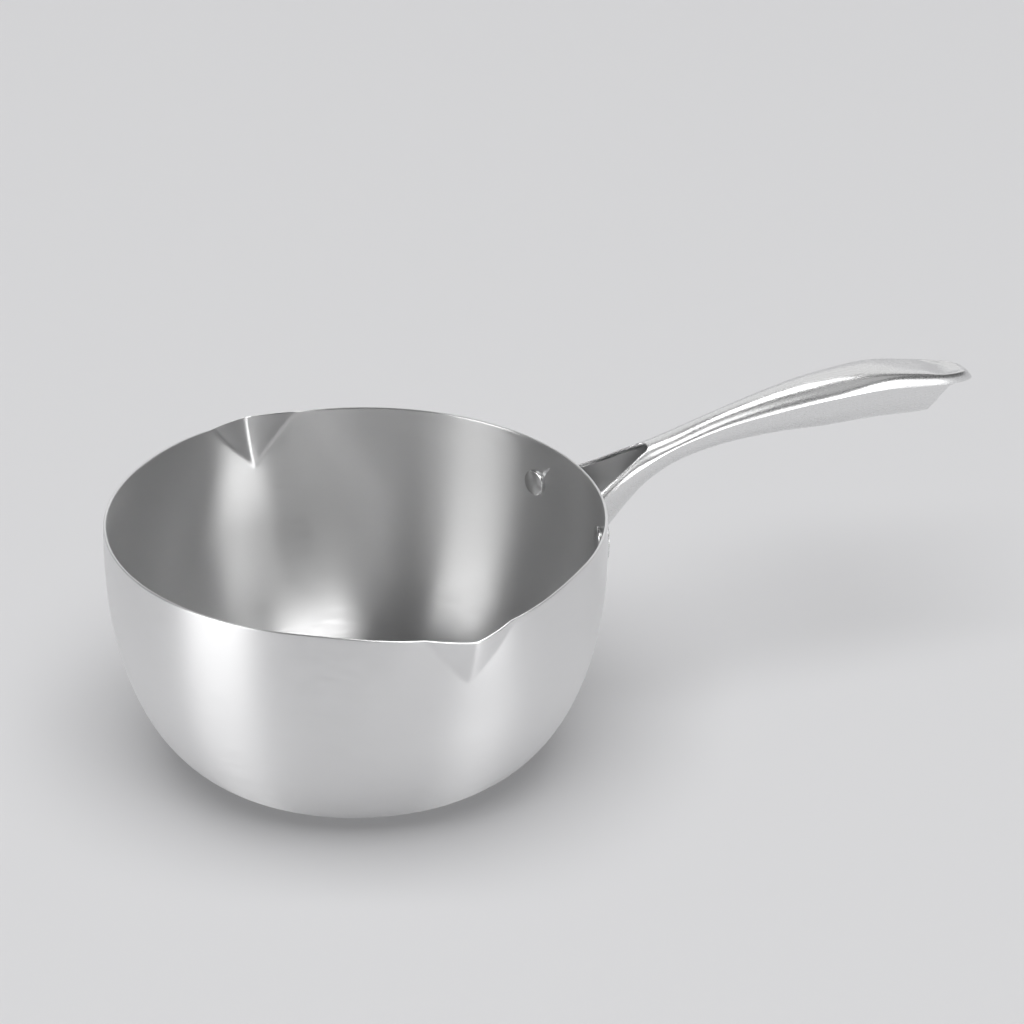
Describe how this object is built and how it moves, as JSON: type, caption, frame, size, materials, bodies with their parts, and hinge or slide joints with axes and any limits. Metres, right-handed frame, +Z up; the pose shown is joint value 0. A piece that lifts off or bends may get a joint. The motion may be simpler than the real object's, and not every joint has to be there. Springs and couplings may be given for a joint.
{
  "type": "saucepan",
  "caption": "Round steel saucepan with a flat base, rounded sides, opposite pouring lips pressed into the rim and a curved hollow handle that forks to riveted ears.",
  "frame": {"origin": "middle of the flat base, on the surface that the pan stands on", "axes": "+Z up along the pan's axis, +X out along the handle, +Y and -Y towards the two pouring lips"},
  "size_m": [0.3462, 0.1972, 0.1081],
  "materials": {
    "pan_steel": "brushed around the pan's axis, inside and outside",
    "handle_steel": "satin polish",
    "rivet_steel": "polished head"
  },
  "bodies": {
    "root": {"pan_body": "pan_steel", "handle_lower_shell": "handle_steel", "handle_upper_shell": "handle_steel", "rivet_left": "rivet_steel", "rivet_right": "rivet_steel"}
  },
  "joints": []
}
